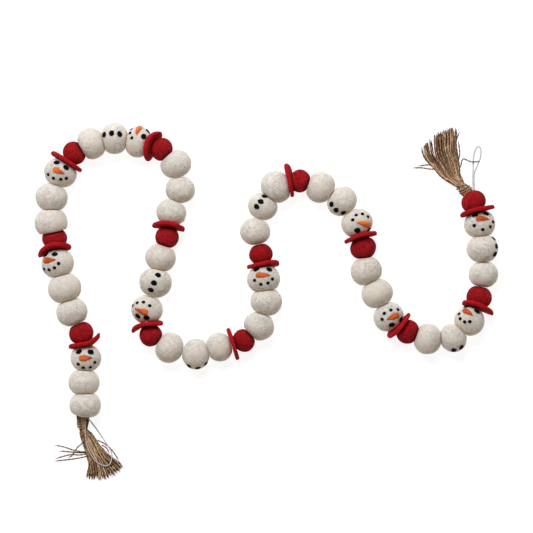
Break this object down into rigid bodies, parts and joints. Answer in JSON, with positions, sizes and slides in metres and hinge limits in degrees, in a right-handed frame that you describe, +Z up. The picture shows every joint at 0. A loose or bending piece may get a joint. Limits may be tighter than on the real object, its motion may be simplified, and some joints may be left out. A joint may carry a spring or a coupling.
{
  "type": "felt snowman garland",
  "caption": "Garland of white felt ball snowmen with red felt hats threaded on a string, ended by jute tassels and hanging loops.",
  "frame": {"origin": "below the middle of the garland without its two string loops, on the surface that it lies on", "axes": "+X along the longest extent, from the first snowman's side to the last one's; +Y towards the side of the last tassel; +Z up from the surface"},
  "size_m": [0.6016, 0.4638, 0.0453],
  "materials": {
    "white_felt": "matt needle-felted wool, warm white",
    "red_felt": "matt wool felt, deep red",
    "jute": "coarse twisted jute, undyed",
    "string": "thin twisted string, greyish white"
  },
  "bodies": {
    "root": {"snowman_01_base": "white_felt", "snowman_01_middle": "white_felt", "snowman_01_head": "white_felt", "snowman_01_hat": "red_felt", "snowman_02_base": "white_felt", "snowman_02_middle": "white_felt", "snowman_02_head": "white_felt", "snowman_02_hat": "red_felt", "snowman_03_base": "white_felt", "snowman_03_middle": "white_felt", "snowman_03_head": "white_felt", "snowman_03_hat": "red_felt", "snowman_04_base": "white_felt", "snowman_04_middle": "white_felt", "snowman_04_head": "white_felt", "snowman_04_hat": "red_felt", "snowman_05_base": "white_felt", "snowman_05_middle": "white_felt", "snowman_05_head": "white_felt", "snowman_05_hat": "red_felt", "snowman_06_base": "white_felt", "snowman_06_middle": "white_felt", "snowman_06_head": "white_felt", "snowman_06_hat": "red_felt", "snowman_07_base": "white_felt", "snowman_07_middle": "white_felt", "snowman_07_head": "white_felt", "snowman_07_hat": "red_felt", "snowman_08_base": "white_felt", "snowman_08_middle": "white_felt", "snowman_08_head": "white_felt", "snowman_08_hat": "red_felt", "snowman_09_base": "white_felt", "snowman_09_middle": "white_felt", "snowman_09_head": "white_felt", "snowman_09_hat": "red_felt", "snowman_10_base": "white_felt", "snowman_10_middle": "white_felt", "snowman_10_head": "white_felt", "snowman_10_hat": "red_felt", "snowman_11_base": "white_felt", "snowman_11_middle": "white_felt", "snowman_11_head": "white_felt", "snowman_11_hat": "red_felt", "snowman_12_base": "white_felt", "snowman_12_middle": "white_felt", "snowman_12_head": "white_felt", "snowman_12_hat": "red_felt", "snowman_13_base": "white_felt", "snowman_13_middle": "white_felt", "snowman_13_head": "white_felt", "snowman_13_hat": "red_felt", "tassel_left": "jute", "tassel_right": "jute", "loop_left": "string", "loop_right": "string"}
  },
  "joints": []
}
